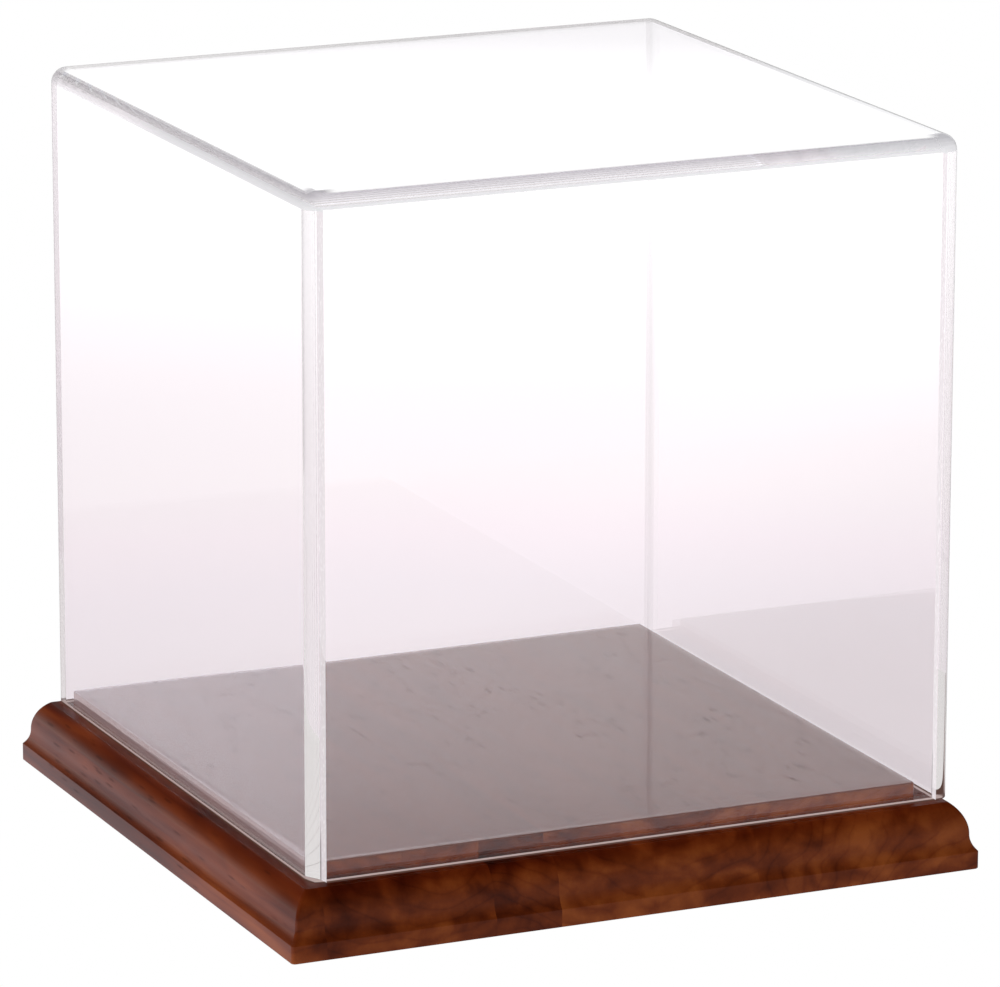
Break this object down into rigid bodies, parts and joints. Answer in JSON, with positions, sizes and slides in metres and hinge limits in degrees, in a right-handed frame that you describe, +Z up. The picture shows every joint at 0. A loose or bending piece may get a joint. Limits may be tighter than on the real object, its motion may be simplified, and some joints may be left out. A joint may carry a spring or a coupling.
{
  "type": "acrylic display cube",
  "caption": "Cube-shaped display case: a clear acrylic cover with rounded edges that lifts straight off a moulded dark wood base with a raised plinth.",
  "frame": {"origin": "centre of the footprint, on the plane that the felt pads rest on", "axes": "+Z up, along the way the cover lifts off; the front faces -Y; the grain of the base and the staves run along Y"},
  "size_m": [0.225, 0.225, 0.226],
  "materials": {
    "base_wood": "dark reddish-brown stained hardwood under a glossy clear lacquer, grain from front to back",
    "felt": "dense dark brown wool felt, matt",
    "clear_acrylic": "clear cast acrylic sheet, polished faces and buffed rounded edges"
  },
  "bodies": {
    "base": {"base_stave_1": "base_wood", "base_stave_2": "base_wood", "base_stave_3": "base_wood", "base_stave_4": "base_wood", "base_stave_5": "base_wood", "foot_pad_front_left": "felt", "foot_pad_front_right": "felt", "foot_pad_back_left": "felt", "foot_pad_back_right": "felt"},
    "cover": {"cover_top": "clear_acrylic", "cover_front": "clear_acrylic", "cover_back": "clear_acrylic", "cover_left": "clear_acrylic", "cover_right": "clear_acrylic"}
  },
  "joints": [
    {"name": "cover_lift", "type": "slide", "parent": "base", "child": "cover", "axis": [0, 0, 1], "range_m": [0, 0.22]}
  ]
}
